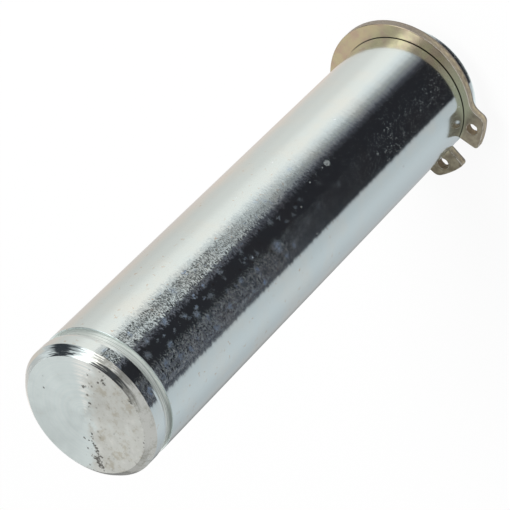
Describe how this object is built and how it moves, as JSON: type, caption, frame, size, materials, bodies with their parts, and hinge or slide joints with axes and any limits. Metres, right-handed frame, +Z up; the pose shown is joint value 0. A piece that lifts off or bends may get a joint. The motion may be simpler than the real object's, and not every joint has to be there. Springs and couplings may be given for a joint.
{
  "type": "clevis pin",
  "caption": "Smooth steel clevis pin with chamfered ends and a groove near each end; an external retaining ring with plier-hole lugs sits in the lower groove, and the upper groove is empty.",
  "frame": {"origin": "centre of the lower end face, the end that carries the retaining ring", "axes": "+Z up the pin's axis, from the ring end to the end with the empty groove; +X towards the gap between the ring's lugs; +Y completes the right-handed frame"},
  "size_m": [0.0378, 0.0348, 0.13],
  "materials": {
    "zinc_plated_steel": "bright turned steel with clear blue-white zinc plating",
    "yellow_zinc_spring_steel": "stamped spring steel with satin yellow zinc plating"
  },
  "bodies": {
    "root": {"pin": "zinc_plated_steel", "retaining_ring": "yellow_zinc_spring_steel"}
  },
  "joints": []
}
